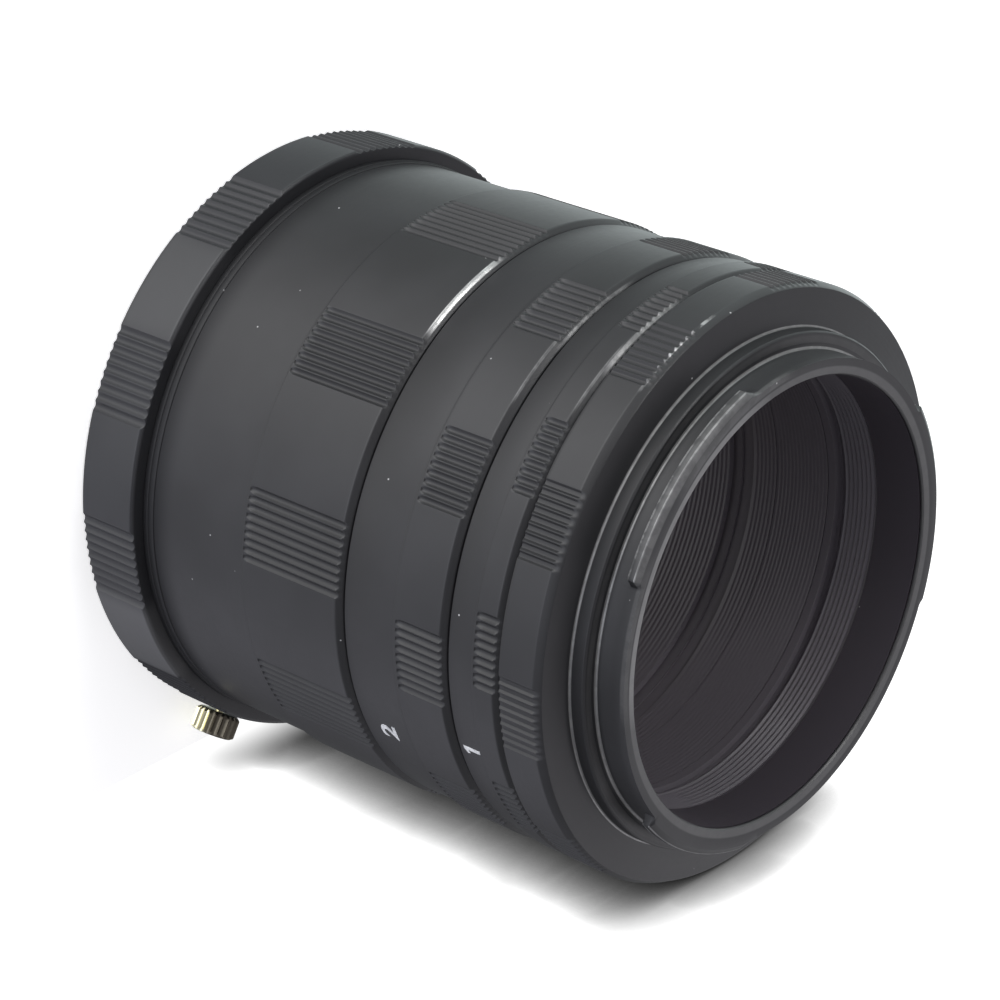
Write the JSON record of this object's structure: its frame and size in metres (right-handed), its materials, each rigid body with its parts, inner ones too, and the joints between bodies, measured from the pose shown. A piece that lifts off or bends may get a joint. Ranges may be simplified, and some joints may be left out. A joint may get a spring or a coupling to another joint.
{
  "type": "macro extension tube set",
  "caption": "Screwed stack of black metal extension tubes with a bayonet ring at each end and a sprung brass lens release.",
  "frame": {"origin": "on the optical axis, in the plane of the lens-side bayonet face, which is the end the stack stands on", "axes": "+Z along the optical axis from the lens to the camera; +X through the release knob; +Y completes a right-handed frame"},
  "size_m": [0.0683, 0.0654, 0.0664],
  "materials": {
    "black_anodised": "black satin anodised, turned",
    "plated_plate": "satin chrome-plated brass",
    "bright_steel": "bright",
    "brass": "bright turned and fluted"
  },
  "bodies": {
    "lens_side": {"lens_ring": "black_anodised", "lens_plate": "plated_plate", "plate_screw_1": "bright_steel", "plate_screw_2": "bright_steel", "plate_screw_3": "bright_steel", "plate_screw_4": "bright_steel", "leaf_spring_1": "bright_steel", "leaf_spring_2": "bright_steel", "leaf_spring_3": "bright_steel"},
    "lens_lock": {"lock_pin": "bright_steel", "lock_spring": "bright_steel", "release_knob": "brass"},
    "long_tube": {"tube_3": "black_anodised"},
    "middle_tube": {"tube_2": "black_anodised"},
    "short_tube": {"tube_1": "black_anodised"},
    "camera_side": {"camera_ring": "black_anodised"}
  },
  "joints": [
    {"name": "lens_release", "type": "slide", "parent": "lens_side", "child": "lens_lock", "axis": [0, 0, 1], "range_m": [-0.001, 0.0003], "stiffness_N_per_m": 150, "springref_m": -0.001, "deforming": ["lock_spring"]},
    {"name": "long_tube_unscrew", "type": "slide", "parent": "lens_side", "child": "long_tube", "axis": [0, 0, 1], "range_m": [0, 0.012]},
    {"name": "middle_tube_unscrew", "type": "slide", "parent": "long_tube", "child": "middle_tube", "axis": [0, 0, 1], "range_m": [0, 0.012]},
    {"name": "short_tube_unscrew", "type": "slide", "parent": "middle_tube", "child": "short_tube", "axis": [0, 0, 1], "range_m": [0, 0.012]},
    {"name": "camera_ring_unscrew", "type": "slide", "parent": "short_tube", "child": "camera_side", "axis": [0, 0, 1], "range_m": [0, 0.012]}
  ]
}
